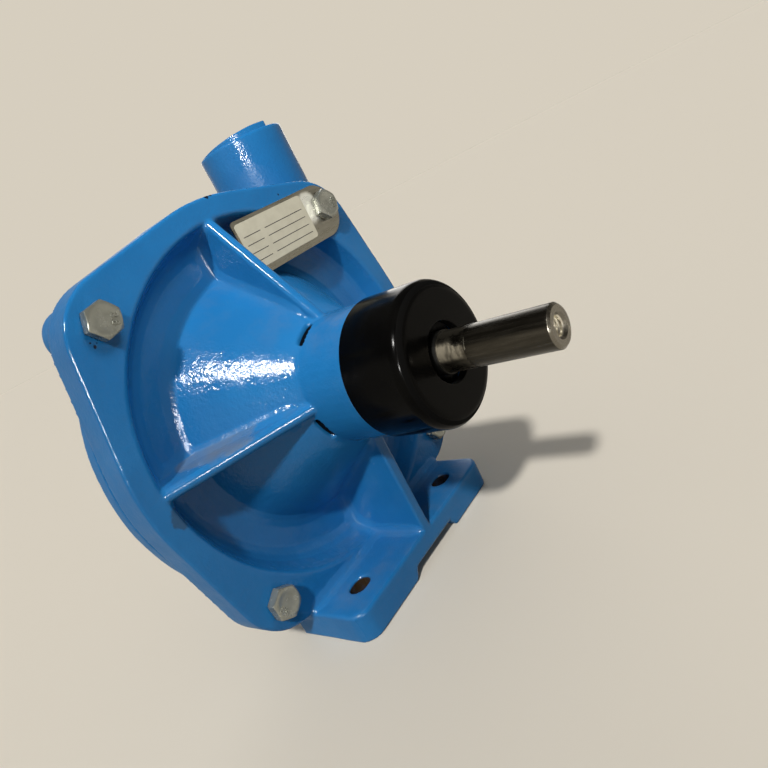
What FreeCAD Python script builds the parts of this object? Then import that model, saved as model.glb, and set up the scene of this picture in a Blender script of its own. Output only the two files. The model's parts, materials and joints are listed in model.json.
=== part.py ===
import FreeCAD, Part
import math
import os

# A centrifugal pump on a foot-mounted bearing bracket. Millimetres.
# Pieces are modelled about the shaft axis: y = 0 on the flange's front face, the drive end
# towards -y, +z away from the foot. At the end they move to the foot's frame, whose origin is
# midway between the foot's two slots, on the plane that the pump stands on.

# Bracket: flange and recess
shaft_height = 96.5
slot_setback = 14.0
flange_radius = 92.0
flange_corner_reach = 105.5
flange_corner_round = 27.0
flange_thickness = 15.0
flange_edge_round = 1.0
bolt_edge_distance = 11.7
recess_rim_radius = 82.0
recess_floor_radius = 76.0
recess_depth = 12.0
spigot_radius = 80.0
spigot_length = 5.0

# Bracket: cone, barrel and ribs
cone_base_radius = 59.5
cone_wall = 6.0
barrel_root_radius = 28.0
barrel_root_y = -31.0
barrel_shoulder_radius = 27.6
nose_radius = 27.0
nose_end_y = -76.0
rib_thickness = 5.5
rib_crest_y = -34.5
rib_rim_radius = 83.0
rib_crest_share = 0.46
lower_web_round = 0.8
nose_round = 1.0
guard_step_clearance = 0.3
barrel_root_round = 5.0
cone_base_round = 4.0
recess_floor_round = 4.5
recess_rim_round = 2.0
flange_ring_width = 3.0
spigot_round = 0.5
weep_slot_width = 3.0
weep_slot_start_angle = 10.5
weep_slot_sweep = 24.0

# Bracket: foot
foot_half_width = 57.0
foot_front_y = -29.0
foot_thickness = 14.0
foot_corner_round = 8.0
foot_edge_round = 1.6
pad_inner_x = 19.5
channel_depth = 5.0
channel_slant = 3.5
channel_round = 1.0
slot_spacing = 76.0
slot_width = 9.0
slot_length = 11.0

# Shaft
shaft_radius = 7.9375
shaft_end_y = -129.8
shaft_end_chamfer = 1.0
end_thread_radius = 3.4
end_thread_depth = 20.0
end_thread_mouth = 4.7
drill_tip_angle = 59.0
journal_radius = 8.5
shoulder_radius = 10.25
seal_shaft_radius = 7.5
impeller_seat_radius = 6.35
stud_radius = 4.76
stud_end_y = 45.0
stud_chamfer = 1.0

# Bearings, of the 17 x 40 x 12 size
bearing_outer_radius = 20.0
bearing_width = 12.0
bearing_gap = 11.7
rear_bearing_y = -48.0
ball_count = 8
ball_radius = 3.3735
ball_clearance = 0.05
race_inner_land = 11.9
race_outer_land = 16.6
cage_half_thickness = 0.85
cage_width = 7.6
pocket_clearance = 0.06
shield_thickness = 0.5
shield_inset = 0.3
shield_step = 0.7
shield_lift = 0.4
bearing_shoulder_radius = 17.0
bearing_shoulder_width = 2.0
snap_groove_width = 1.8
snap_ring_thickness = 1.5
housing_groove_depth = 1.25
housing_ring_width = 3.6
shaft_groove_depth = 0.6
shaft_ring_width = 2.4
snap_ring_gap_angle = 24.0

# Slinger and mechanical seal
slinger_cavity_radius = 21.0
slinger_cavity_length = 10.0
slinger_cavity_round = 1.0
slinger_radius = 14.0
slinger_width = 3.0
slinger_hub_wall = 2.0
slinger_lean = 1.0
slinger_round = 0.4
seal_wall = 4.0
seal_wall_bore = 10.0
seat_pocket_radius = 15.875
seat_pocket_depth = 10.0
cone_inside_round = 6.0
seat_radius = 13.2
seat_bore = 9.0
seat_proud = 0.5
cup_floor = 1.2
cup_bore_clearance = 1.0
face_gap = 0.05
face_bore_clearance = 0.7
face_length = 5.0
face_radius = 12.2
bellows_wall = 1.7
bellows_length = 13.5
bellows_round = 0.8
collar_length = 3.0
collar_wall = 1.2
collar_round = 0.3
shell_wall = 0.7
shell_length = 7.2
shell_bore_clearance = 1.0
spring_radius = 12.4
spring_wire_radius = 0.9
spring_turns = 4.0
spring_seat_width = 1.5
spring_seat_rim = 1.5

# Impeller
impeller_y = 22.0
impeller_radius = 56.0
shroud_thickness = 3.0
impeller_width = 8.0
hub_radius = 13.0
hub_front_y = 18.0
hub_nose_radius = 10.5
hub_edge_round = 0.5
hub_root_round = 2.0
hub_flare = 4.0
hub_flare_round = 5.0
eye_radius = 17.5
eye_ring_wall = 3.5
eye_ring_length = 4.0
eye_ring_round = 1.0
vane_count = 6
vane_inset = 1.0
vane_inlet_width = 1.65
vane_outlet_width = 4.8
vane_wrap_angle = 95.0
vane_middle_share = 0.42
vane_overlap = 0.5
key_width = 3.2
key_length = 12.0
key_in_shaft = 1.8
washer_radius = 9.5
washer_thickness = 1.5
nut_across_flats = 14.3
nut_height = 7.5

# Volute casing
casing_flange_thickness = 8.0
casing_flange_round = 2.0
lug_radius = 11.0
lug_thickness = 10.0
lug_round = 1.5
register_clearance = 0.1
register_depth_clearance = 0.5
volute_top_reach = 70.0
volute_growth = 5.0
volute_wall = 6.0
volute_back_y = 56.0
volute_edge_round = 10.0
volute_shoulder_round = 60.0
core_clearance = 2.5
impeller_side_clearance = 2.0
wear_ring_clearance = 0.3
suction_boss_radius = 28.5
suction_face_y = 84.0
suction_bore_radius = 18.5
suction_thread_radius = 19.05
suction_thread_length = 20.0
suction_boss_round = 2.0
suction_flare = 6.0
suction_flare_round = 4.0
eye_ring_end_clearance = 1.0
dish_floor_y = 46.0
dish_floor_round = 4.0
dish_outer_radius = 56.0
dish_slope = 8.0
discharge_x = 75.0
discharge_boss_radius = 23.2
discharge_boss_base = 70.0
discharge_flare = 11.6
discharge_top = 113.7
discharge_horn_radius = 17.5
discharge_bore_radius = 11.5
discharge_thread_radius = 14.7
discharge_thread_length = 18.0
boss_split_clearance = 0.3
boss_edge_round = 1.2
port_chamfer = 1.2
lip_wall = 1.8
lip_height = 2.8
lip_slope_angle = 5.0
lip_start_angle = 150.0
lip_sweep = 124.0
plug_radius = 5.7
plug_length = 10.0
plug_boss_radius = 10.0
plug_boss_height = 7.0
plug_socket_width = 6.0
plug_socket_depth = 5.0
plug_hole_spare = 2.0
o_ring_section = 1.15

# Casing bolts, M8
bolt_radius = 4.0
bolt_hole_radius = 4.5
bolt_length = 25.0
bolt_end_clearance = 0.5
bolt_head_width = 13.0
bolt_head_height = 5.3
bolt_point_chamfer = 1.0
head_face_share = 0.95
head_chamfer_angle = 30.0
head_turn_upper_right = 20.0
head_turn_upper_left = 10.0
head_turn_lower_left = 31.0
head_turn_lower_right = 5.0

# Nameplate
plate_thickness = 0.8
plate_reach = 58.3
plate_drop = 14.9
plate_rise = 11.3
plate_corner_round = 2.0
plate_end_setback = 2.6

# Shaft guard
guard_back_y = -55.4
guard_front_y = -84.6
guard_wall = 1.6
guard_hole_radius = 11.9
guard_edge_round = 5.0
guard_rim_round = 0.5
guard_lip_length = 1.8
guard_lip_wall = 1.2
guard_lip_round = 0.3

# The top, as a turn from the right seen from the drive end
top_angle = 90.0

# How far a cutter or a joined piece runs past a face, and the tolerance of edge searches
overshoot = 1.0
tolerance = 1e-3

# Places that follow from the sizes above
spigot_end_y = flange_thickness + spigot_length
barrel_slope = (cone_base_radius - barrel_root_radius) / (recess_depth - barrel_root_y)
front_bearing_y = rear_bearing_y - bearing_gap - bearing_width
groove_front_y = front_bearing_y - snap_groove_width
bearing_seat_end = rear_bearing_y + bearing_width
cavity_front_y = bearing_seat_end + bearing_shoulder_width
cavity_back_y = cavity_front_y + slinger_cavity_length
pocket_floor_y = cavity_back_y + seal_wall
pocket_mouth_y = pocket_floor_y + seat_pocket_depth
seat_face_y = pocket_mouth_y + seat_proud
carbon_y = seat_face_y + face_gap
bellows_y = carbon_y + face_length
pitch_radius = (journal_radius + bearing_outer_radius) / 2
hub_back_y = impeller_y + shroud_thickness + impeller_width
front_shroud_back_y = hub_back_y + shroud_thickness
chamber_back_y = front_shroud_back_y + impeller_side_clearance
eye_ring_back_y = front_shroud_back_y + eye_ring_length
volute_chamber_back_y = volute_back_y - volute_wall
discharge_y = flange_thickness + boss_split_clearance + discharge_boss_radius
bolt_offset = (flange_corner_reach - bolt_edge_distance) / math.sqrt(2)
plate_left_x = bolt_offset - plate_reach
plate_bottom_z = bolt_offset - plate_drop
plate_top_z = bolt_offset + plate_rise
plate_end_radius = (plate_rise + plate_drop) / 2
plug_y = (spigot_end_y + volute_chamber_back_y) / 2
lip_radius = discharge_boss_radius - boss_edge_round

ORIGIN = FreeCAD.Vector(0, 0, 0)
SHAFT = FreeCAD.Vector(0, 1, 0)
UP = FreeCAD.Vector(0, 0, 1)


def rounded_wire(corners, place):
    """A closed wire through (a, b, radius) corners, each rounded by its radius."""
    points = [FreeCAD.Vector(a, b, 0) for a, b, _ in corners]
    edges = []
    last = None
    first = None
    for i, (_, _, radius) in enumerate(corners):
        here = points[i]
        before = (points[i - 1] - here).normalize()
        after = (points[(i + 1) % len(points)] - here).normalize()
        if radius > 0:
            half = before.getAngle(after) / 2
            reach = radius / math.tan(half)
            start = here + before * reach
            end = here + after * reach
            middle = (before + after).normalize()
            crown = here + middle * (radius / math.sin(half) - radius)
        else:
            start = end = here
        if last is not None and (start - last).Length > tolerance:
            edges.append(Part.LineSegment(place(last), place(start)).toShape())
        if radius > 0:
            edges.append(Part.Arc(place(start), place(crown), place(end)).toShape())
        first = first or start
        last = end
    if (first - last).Length > tolerance:
        edges.append(Part.LineSegment(place(last), place(first)).toShape())
    return Part.Wire(edges)


def turned(corners):
    """A solid of revolution about the shaft from (radius, y, rounding) corners."""
    wire = rounded_wire(corners, lambda p: FreeCAD.Vector(p.x, p.y, 0))
    return Part.Face(wire).revolve(ORIGIN, SHAFT, 360)


def sharp(*points):
    """Corners without rounding, for turned()."""
    return [(radius, y, 0) for radius, y in points]


def cylinder(radius, y0, y1, x=0.0, z=0.0):
    """A cylinder along the shaft direction."""
    return Part.makeCylinder(radius, y1 - y0, FreeCAD.Vector(x, y0, z), SHAFT)


def ring(outer, inner, y0, y1):
    return cylinder(outer, y0, y1).cut(cylinder(inner, y0, y1))


def upright(radius, z0, z1, x, y):
    """A cylinder along z."""
    return Part.makeCylinder(radius, z1 - z0, FreeCAD.Vector(x, y, z0), UP)


def box(x0, x1, y0, y1, z0, z1):
    return Part.makeBox(x1 - x0, y1 - y0, z1 - z0, FreeCAD.Vector(x0, y0, z0))


def prism(corners, y0, y1):
    """An (x, z, rounding) outline pushed from y0 to y1."""
    wire = rounded_wire(corners, lambda p: FreeCAD.Vector(p.x, y0, p.y))
    return Part.Face(wire).extrude(FreeCAD.Vector(0, y1 - y0, 0))


def hexagon(width, y0, y1, turn=0.0):
    reach = width / math.sqrt(3)
    angles = [math.radians(60 * i + turn) for i in range(6)]
    return prism([(reach * math.cos(a), reach * math.sin(a), 0) for a in angles], y0, y1)


def chamfered_hexagon(width, seat, outer, turn=0.0):
    """A hexagon from its seat to its outer face, whose corners are turned off to a cone."""
    reach = width / math.sqrt(3)
    face = head_face_share * width / 2
    drop = (reach - face) * math.tan(math.radians(head_chamfer_angle))
    shoulder = outer + drop if outer < seat else outer - drop
    crown = turned(sharp((0, seat), (reach, seat), (reach, shoulder), (face, outer), (0, outer)))
    return hexagon(width, min(seat, outer), max(seat, outer), turn).common(crown)


def spun(shape, degrees):
    """A copy turned about the shaft, counterclockwise as seen from the drive end."""
    copy = shape.copy()
    copy.rotate(ORIGIN, SHAFT, -degrees)
    return copy


def moved(shape, x, y, z):
    copy = shape.copy()
    copy.translate(FreeCAD.Vector(x, y, z))
    return copy


def joined(shapes):
    return shapes[0].fuse(shapes[1:]).removeSplitter()


def edges_at_y(shape, y):
    """The edges that lie wholly in the plane at y."""
    return [e for e in shape.Edges
            if abs(e.BoundBox.YMin - y) < tolerance and abs(e.BoundBox.YMax - y) < tolerance]


def bolt_places():
    """Bolt centres, from the upper right one round over the lower right, lower left and upper left."""
    return [(sx * bolt_offset, sz * bolt_offset) for sx, sz in ((1, 1), (1, -1), (-1, -1), (-1, 1))]


def flange_outline():
    """The square outline: arcs on the four axes, tangent lines and rounded corners."""
    reach = flange_corner_reach - flange_corner_round
    lean = math.acos((flange_radius - flange_corner_round) / reach)
    edges = []
    for quarter in range(4):
        base = math.radians(90 * quarter)
        corner = base + math.radians(45)

        def at(radius, angle, cx=0.0, cz=0.0):
            return FreeCAD.Vector(cx + radius * math.cos(angle), 0, cz + radius * math.sin(angle))

        cx = reach * math.cos(corner)
        cz = reach * math.sin(corner)
        side = [at(flange_radius, corner - lean), at(flange_corner_round, corner - lean, cx, cz)]
        crown = at(flange_corner_round, corner, cx, cz)
        out = [at(flange_corner_round, corner + lean, cx, cz), at(flange_radius, corner + lean)]
        middle = at(flange_radius, base + math.radians(90))
        following = at(flange_radius, corner + math.radians(90) - lean)
        edges += [Part.LineSegment(*side).toShape(), Part.Arc(side[1], crown, out[0]).toShape(),
                  Part.LineSegment(*out).toShape(), Part.Arc(out[1], middle, following).toShape()]
    return Part.Wire(edges)


def rib(lower):
    """One web. The lower one is deeper and ends at the foot's front edge."""
    half = rib_thickness / 2
    root = barrel_root_radius - rib_thickness
    inside = recess_depth + overshoot
    slope = -rib_crest_y / (rib_rim_radius - barrel_root_radius)
    if lower:
        crest = shaft_height - foot_thickness + overshoot
        corners = [(root, foot_front_y), (crest, foot_front_y), (crest, inside), (root, inside)]
    else:
        corners = [(root, rib_crest_y - slope * rib_thickness), (rib_rim_radius, 0.0),
                   (rib_rim_radius, inside), (root, inside)]
    wire = Part.makePolygon([FreeCAD.Vector(-half, y, r) for r, y in corners + corners[:1]])
    web = Part.Face(wire).extrude(FreeCAD.Vector(rib_thickness, 0, 0))
    crest_edges = [e for e in web.Edges if e.BoundBox.YMin < -overshoot
                   and e.BoundBox.YMax < recess_depth and e.Length > 2 * rib_thickness]
    rounding = lower_web_round if lower else rib_crest_share * rib_thickness
    return web.makeFillet(rounding, crest_edges)


def bracket_foot():
    """The foot plate with its two pads, before its slots."""
    bottom = -shaft_height
    plate = box(-foot_half_width, foot_half_width, foot_front_y, flange_thickness,
                bottom, bottom + foot_thickness)
    corners = [e for e in plate.Edges if abs(e.BoundBox.YMax - foot_front_y) < tolerance
               and e.BoundBox.ZLength > foot_thickness / 2]
    plate = plate.makeFillet(foot_corner_round, corners)
    top = [e for e in plate.Edges if abs(e.BoundBox.ZMin - bottom - foot_thickness) < tolerance
           and e.BoundBox.YMin < 0.0]
    plate = plate.makeFillet(foot_edge_round, top)
    narrow = pad_inner_x - channel_slant
    channel = prism([(-pad_inner_x, bottom - tolerance, 0), (pad_inner_x, bottom - tolerance, 0),
                     (narrow, bottom + channel_depth, channel_round),
                     (-narrow, bottom + channel_depth, channel_round)],
                    foot_front_y - overshoot, flange_thickness + overshoot)
    return plate.cut(channel)


def foot_slot(x):
    """A slot along x through the foot."""
    half = (slot_length - slot_width) / 2
    z0 = -shaft_height - overshoot
    z1 = -shaft_height + foot_thickness + overshoot
    ends = [upright(slot_width / 2, z0, z1, x + s * half, -slot_setback) for s in (-1, 1)]
    middle = box(x - half, x + half, -slot_setback - slot_width / 2, -slot_setback + slot_width / 2, z0, z1)
    return joined(ends + [middle])


def bearing_bracket():
    guard_seat = guard_back_y + guard_step_clearance
    ring_radius = flange_radius - flange_ring_width
    body = turned([(0, nose_end_y, 0), (nose_radius, nose_end_y, nose_round),
                   (nose_radius, guard_seat, 0), (barrel_shoulder_radius, guard_seat, guard_step_clearance),
                   (barrel_root_radius, barrel_root_y, barrel_root_round),
                   (cone_base_radius, recess_depth, cone_base_round),
                   (recess_floor_radius, recess_depth, recess_floor_round),
                   (recess_rim_radius, 0, recess_rim_round), (ring_radius, 0, 0),
                   (ring_radius, flange_thickness, 0), (spigot_radius, flange_thickness, 0),
                   (spigot_radius, spigot_end_y, spigot_round), (0, spigot_end_y, 0)])
    flange = Part.Face(flange_outline()).extrude(FreeCAD.Vector(0, flange_thickness, 0))
    flange = flange.makeFillet(flange_edge_round, edges_at_y(flange, 0))
    middle = cylinder(ring_radius - flange_ring_width / 2, -overshoot, flange_thickness + overshoot)
    ribs = [spun(rib(False), 90 * i) for i in (0, 1, 3)] + [spun(rib(True), 180)]
    solid = joined([body, flange.cut(middle), bracket_foot()] + ribs)
    cutters = [bracket_hollow(), housing_ring_groove(), casing_seal_groove()]
    cutters += [cylinder(bolt_hole_radius, -overshoot, flange_thickness + overshoot, x, z)
                for x, z in bolt_places()]
    cutters += [foot_slot(s * slot_spacing / 2) for s in (-1, 1)]
    return solid.cut(cutters + weep_slots()).removeSplitter()


def bracket_hollow():
    """The bearing bore, the slinger's cavity, the seat's pocket and the cone's wet side."""
    wall = cone_wall * math.sqrt(1 + barrel_slope ** 2)

    def cone_inside(y):
        return barrel_root_radius + barrel_slope * (y - barrel_root_y) - wall

    front = nose_end_y - overshoot
    back = spigot_end_y + overshoot
    return turned([(0, front, 0), (bearing_outer_radius, front, 0),
                   (bearing_outer_radius, bearing_seat_end, 0),
                   (bearing_shoulder_radius, bearing_seat_end, 0),
                   (bearing_shoulder_radius, cavity_front_y, 0),
                   (slinger_cavity_radius, cavity_front_y, slinger_cavity_round),
                   (slinger_cavity_radius, cavity_back_y, slinger_cavity_round),
                   (seal_wall_bore, cavity_back_y, 0), (seal_wall_bore, pocket_floor_y, 0),
                   (seat_pocket_radius, pocket_floor_y, 0), (seat_pocket_radius, pocket_mouth_y, 0),
                   (cone_inside(pocket_mouth_y), pocket_mouth_y, cone_inside_round),
                   (cone_inside(spigot_end_y), spigot_end_y, 0),
                   (cone_inside(spigot_end_y), back, 0), (0, back, 0)])


def housing_ring_groove():
    return ring(bearing_outer_radius + housing_groove_depth, bearing_outer_radius - overshoot,
                groove_front_y, front_bearing_y)


def casing_seal_groove():
    middle = flange_thickness + spigot_length / 2
    return ring(spigot_radius + overshoot, spigot_radius + register_clearance - 2 * o_ring_section,
                middle - o_ring_section, middle + o_ring_section)


def weep_slots():
    """Four drain slots into the slinger's cavity, one beside each rib."""
    y0 = barrel_root_y - weep_slot_width / 2
    inner = slinger_cavity_radius - overshoot
    outer = barrel_root_radius + 2 * weep_slot_width
    profile = Part.makePolygon([FreeCAD.Vector(r, y, 0) for r, y in
                                ((inner, y0), (outer, y0), (outer, y0 + weep_slot_width),
                                 (inner, y0 + weep_slot_width), (inner, y0))])
    slot = Part.Face(profile).revolve(ORIGIN, SHAFT * -1, weep_slot_sweep)
    return [spun(slot, 90 * i + weep_slot_start_angle) for i in range(4)]


def spiral_arcs(inset):
    """Three quarter arcs, from the top over the left to the right, that grow with the flow."""
    half = volute_growth / 2
    radii = [volute_top_reach + half + volute_growth * i - inset for i in range(3)]
    centres = [(-half, -half), (half, -half), (half, half)]
    arcs = []
    for i, (radius, (cx, cz)) in enumerate(zip(radii, centres)):
        three = [math.radians(90 + 90 * i + step) for step in (0, 45, 90)]
        points = [FreeCAD.Vector(cx + radius * math.cos(a), 0, cz + radius * math.sin(a)) for a in three]
        arcs.append(Part.Arc(*points).toShape())
    return arcs


def volute_block():
    """The casing's spiral body, closed by a round shoulder under the discharge and rounded behind."""
    arcs = spiral_arcs(0.0)
    start = arcs[0].valueAt(arcs[0].FirstParameter)
    end = arcs[-1].valueAt(arcs[-1].LastParameter)
    r = volute_shoulder_round
    side = FreeCAD.Vector(end.x, 0, start.z - r)
    crown = FreeCAD.Vector(end.x - r * (1 - math.sqrt(0.5)), 0, start.z - r * (1 - math.sqrt(0.5)))
    top = FreeCAD.Vector(end.x - r, 0, start.z)
    shoulder = [Part.LineSegment(end, side).toShape(), Part.Arc(side, crown, top).toShape(),
                Part.LineSegment(top, start).toShape()]
    face = Part.Face(Part.Wire(arcs + shoulder))
    depth = volute_back_y - flange_thickness
    block = moved(face, 0, flange_thickness, 0).extrude(FreeCAD.Vector(0, depth, 0))
    return block.makeFillet(volute_edge_round, edges_at_y(block, volute_back_y))


def volute_chamber():
    """The water space: the spiral, closed at the tongue, around the impeller's own space."""
    arcs = spiral_arcs(volute_wall)
    start = arcs[0].valueAt(arcs[0].FirstParameter)
    end = arcs[-1].valueAt(arcs[-1].LastParameter)
    reach = (start.Length + end.Length) / 2
    middle = FreeCAD.Vector(reach * math.sqrt(0.5), 0, reach * math.sqrt(0.5))
    face = Part.Face(Part.Wire(arcs + [Part.Arc(end, middle, start).toShape()]))
    depth = volute_chamber_back_y - spigot_end_y
    space = moved(face, 0, spigot_end_y, 0).extrude(FreeCAD.Vector(0, depth, 0))
    return space.cut(cylinder(impeller_radius + core_clearance, chamber_back_y, volute_back_y))


def discharge_lip():
    """A low rising lip on the discharge port's rim."""
    centre = FreeCAD.Vector(discharge_x, discharge_y, 0)
    profile = Part.makePolygon([centre + FreeCAD.Vector(r, 0, discharge_top + z) for r, z in
                                ((lip_radius - lip_wall, -overshoot), (lip_radius, -overshoot),
                                 (lip_radius, lip_height), (lip_radius - lip_wall, lip_height),
                                 (lip_radius - lip_wall, -overshoot))])
    lip = Part.Face(profile).revolve(centre, UP, lip_sweep)
    lip.rotate(centre, UP, lip_start_angle)
    span = 2 * lip_radius
    above = Part.makeBox(2 * span, 2 * span, span, FreeCAD.Vector(-lip_radius, -span, 0))
    above.rotate(ORIGIN, SHAFT, -lip_slope_angle)
    above.rotate(ORIGIN, UP, lip_start_angle + lip_sweep)
    start = math.radians(lip_start_angle)
    ramp_foot = FreeCAD.Vector(lip_radius * math.cos(start), lip_radius * math.sin(start), discharge_top)
    above.translate(centre + ramp_foot)
    return lip.cut(above)


def discharge_horn():
    """The discharge passage's outside: a round-ended horn and the threaded boss."""
    horn = upright(discharge_horn_radius, 0, discharge_boss_base + overshoot, discharge_x, discharge_y)
    end = Part.makeSphere(discharge_horn_radius, FreeCAD.Vector(discharge_x, discharge_y, 0))
    boss = upright(discharge_boss_radius, discharge_boss_base, discharge_top, discharge_x, discharge_y)
    top = [e for e in boss.Edges if abs(e.BoundBox.ZMin - discharge_top) < tolerance]
    boss = boss.makeFillet(boss_edge_round, top)
    neck = Part.makeCone(discharge_horn_radius, discharge_boss_radius, discharge_flare,
                         FreeCAD.Vector(discharge_x, discharge_y, discharge_boss_base - discharge_flare), UP)
    return joined([horn, end, neck, boss])


def discharge_passage():
    step_z = discharge_top - discharge_thread_length
    bore = upright(discharge_bore_radius, 0, step_z, discharge_x, discharge_y)
    end = Part.makeSphere(discharge_bore_radius, FreeCAD.Vector(discharge_x, discharge_y, 0))
    thread = upright(discharge_thread_radius, step_z, discharge_top + lip_height + overshoot,
                     discharge_x, discharge_y)
    mouth = Part.makeCone(discharge_thread_radius, discharge_thread_radius + port_chamfer, port_chamfer,
                          FreeCAD.Vector(discharge_x, discharge_y, discharge_top - port_chamfer), UP)
    return [bore, end, thread, mouth]


def plug_line(side):
    """The outer face of a pipe plug's boss, above the shaft (side +1) or below it (side -1)."""
    reach = volute_top_reach if side > 0 else volute_top_reach + 2 * volute_growth
    return side * (reach + plug_boss_height)


def plug_piece(radius, side, inset, depth):
    """A cylinder on a plug's axis, from inset below its outer face to depth."""
    outer = plug_line(side)
    near = outer - side * inset
    far = outer - side * depth
    return upright(radius, min(near, far), max(near, far), 0, plug_y)


def pipe_plug(side):
    """A plug with a hexagon socket, flush with its boss."""
    plug = plug_piece(plug_radius, side, 0, plug_length)
    socket = hexagon(plug_socket_width, 0, plug_socket_depth + overshoot)
    socket.rotate(ORIGIN, FreeCAD.Vector(1, 0, 0), -90 * side)
    return plug.cut(moved(socket, 0, plug_y, plug_line(side) + side * overshoot))


def suction_passage():
    """The wear ring's bore, the inlet passage and its threaded mouth."""
    thread_y = suction_face_y - suction_thread_length
    ring_bore = eye_radius + eye_ring_wall + wear_ring_clearance
    ring_end = eye_ring_back_y + eye_ring_end_clearance
    front = chamber_back_y - overshoot
    mouth = suction_thread_radius + port_chamfer
    back = suction_face_y + overshoot
    return turned(sharp((0, front), (ring_bore, front), (ring_bore, ring_end),
                        (suction_bore_radius, ring_end), (suction_bore_radius, thread_y),
                        (suction_thread_radius, thread_y),
                        (suction_thread_radius, suction_face_y - port_chamfer),
                        (mouth, suction_face_y), (mouth, back), (0, back)))


def volute_casing():
    front = flange_thickness
    back = front + casing_flange_thickness
    flange = cylinder(flange_radius, front, back)
    flange = flange.makeFillet(casing_flange_round, edges_at_y(flange, back))
    lugs = []
    for x, z in bolt_places():
        lug = cylinder(lug_radius, front, front + lug_thickness, x, z)
        lugs.append(lug.makeFillet(lug_round, edges_at_y(lug, front + lug_thickness)))
    dish = turned([(0, dish_floor_y, 0), (dish_outer_radius - dish_slope, dish_floor_y, dish_floor_round),
                   (dish_outer_radius, volute_back_y, 0), (dish_outer_radius, volute_back_y + overshoot, 0),
                   (0, volute_back_y + overshoot, 0)])
    root = suction_boss_radius + suction_flare
    neck = turned([(0, dish_floor_y - overshoot, 0), (root, dish_floor_y - overshoot, 0),
                   (root, dish_floor_y, 0), (suction_boss_radius, dish_floor_y + suction_flare,
                                             suction_flare_round),
                   (suction_boss_radius, suction_face_y, suction_boss_round), (0, suction_face_y, 0)])
    plug_wall = plug_boss_height + volute_wall
    bosses = [plug_piece(plug_boss_radius, side, 0, plug_wall) for side in (-1, 1)]
    shell = [flange, volute_block().cut(dish), neck, discharge_horn(), discharge_lip()]
    solid = joined(shell + lugs + bosses)

    register = cylinder(spigot_radius + register_clearance, front - overshoot,
                        spigot_end_y + register_depth_clearance)
    holes = [cylinder(bolt_radius, front - overshoot, bolt_length + bolt_end_clearance, x, z)
             for x, z in bolt_places()]
    plug_holes = [plug_piece(plug_radius, side, -overshoot, plug_wall + plug_hole_spare)
                  for side in (-1, 1)]
    cutters = [register, volute_chamber(), suction_passage()] + discharge_passage() + holes + plug_holes
    return solid.cut(cutters).removeSplitter()


def casing_bolts():
    """Four hexagon bolts, the upper right one seated on the nameplate."""
    turns = (head_turn_upper_right, head_turn_lower_right, head_turn_lower_left, head_turn_upper_left)
    bolts = []
    for (x, z), turn in zip(bolt_places(), turns):
        seat = -plate_thickness if x > 0 and z > 0 else 0.0
        head = chamfered_hexagon(bolt_head_width, seat, seat - bolt_head_height, turn)
        end = seat + bolt_length
        shank = turned(sharp((0, seat), (bolt_radius, seat), (bolt_radius, end - bolt_point_chamfer),
                             (bolt_radius - bolt_point_chamfer, end), (0, end)))
        bolts.append(moved(head.fuse(shank).removeSplitter(), x, 0, z))
    return Part.makeCompound(bolts)


def nameplate():
    """A thin plate that reaches from the upper right bolt towards the upper rib."""
    end_x = bolt_offset - plate_end_setback
    end_z = (plate_top_z + plate_bottom_z) / 2
    corners = [(plate_left_x, plate_bottom_z, plate_corner_round), (end_x, plate_bottom_z, 0),
               (end_x, plate_top_z, 0), (plate_left_x, plate_top_z, plate_corner_round)]
    plate = prism(corners, -plate_thickness, 0)
    plate = plate.fuse(cylinder(plate_end_radius, -plate_thickness, 0, end_x, end_z)).removeSplitter()
    return plate.cut(cylinder(bolt_hole_radius, -overshoot, overshoot, bolt_offset, bolt_offset))


def shaft_guard():
    outer = nose_radius + guard_wall
    inner_front = guard_front_y + guard_wall
    lip = guard_hole_radius + guard_lip_wall
    lip_end = inner_front + guard_lip_length
    return turned([(guard_hole_radius, guard_front_y, guard_rim_round),
                   (outer, guard_front_y, guard_edge_round), (outer, guard_back_y, guard_rim_round),
                   (nose_radius, guard_back_y, 0), (nose_radius, inner_front, guard_edge_round - guard_wall),
                   (lip, inner_front, guard_lip_round), (lip, lip_end, guard_lip_round),
                   (guard_hole_radius, lip_end, guard_lip_round)])


def pump_shaft():
    c = shaft_end_chamfer
    bearing_back = front_bearing_y + bearing_width
    body = turned(sharp((0, shaft_end_y), (shaft_radius - c, shaft_end_y), (shaft_radius, shaft_end_y + c),
                        (shaft_radius, guard_front_y), (journal_radius, guard_front_y),
                        (journal_radius, bearing_back), (shoulder_radius, bearing_back),
                        (shoulder_radius, rear_bearing_y), (journal_radius, rear_bearing_y),
                        (journal_radius, bearing_seat_end), (seal_shaft_radius, bearing_seat_end),
                        (seal_shaft_radius, hub_front_y), (impeller_seat_radius, hub_front_y),
                        (impeller_seat_radius, hub_back_y), (stud_radius, hub_back_y),
                        (stud_radius, stud_end_y - stud_chamfer),
                        (stud_radius - stud_chamfer, stud_end_y), (0, stud_end_y)))
    tip = end_thread_radius / math.tan(math.radians(drill_tip_angle))
    front = shaft_end_y - overshoot
    bore = turned(sharp((0, front), (end_thread_mouth, front), (end_thread_mouth, shaft_end_y),
                        (end_thread_radius, shaft_end_y + (end_thread_mouth - end_thread_radius)),
                        (end_thread_radius, shaft_end_y + end_thread_depth),
                        (0, shaft_end_y + end_thread_depth + tip)))
    groove = ring(journal_radius + overshoot, journal_radius - shaft_groove_depth,
                  groove_front_y, front_bearing_y)
    return body.cut([bore, groove, key_block()])


def key_block():
    """The key, which also cuts its seat in the shaft."""
    z0 = impeller_seat_radius - key_in_shaft
    middle = (hub_front_y + hub_back_y) / 2
    return box(-key_width / 2, key_width / 2, middle - key_length / 2, middle + key_length / 2,
               z0, z0 + key_width)


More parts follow.
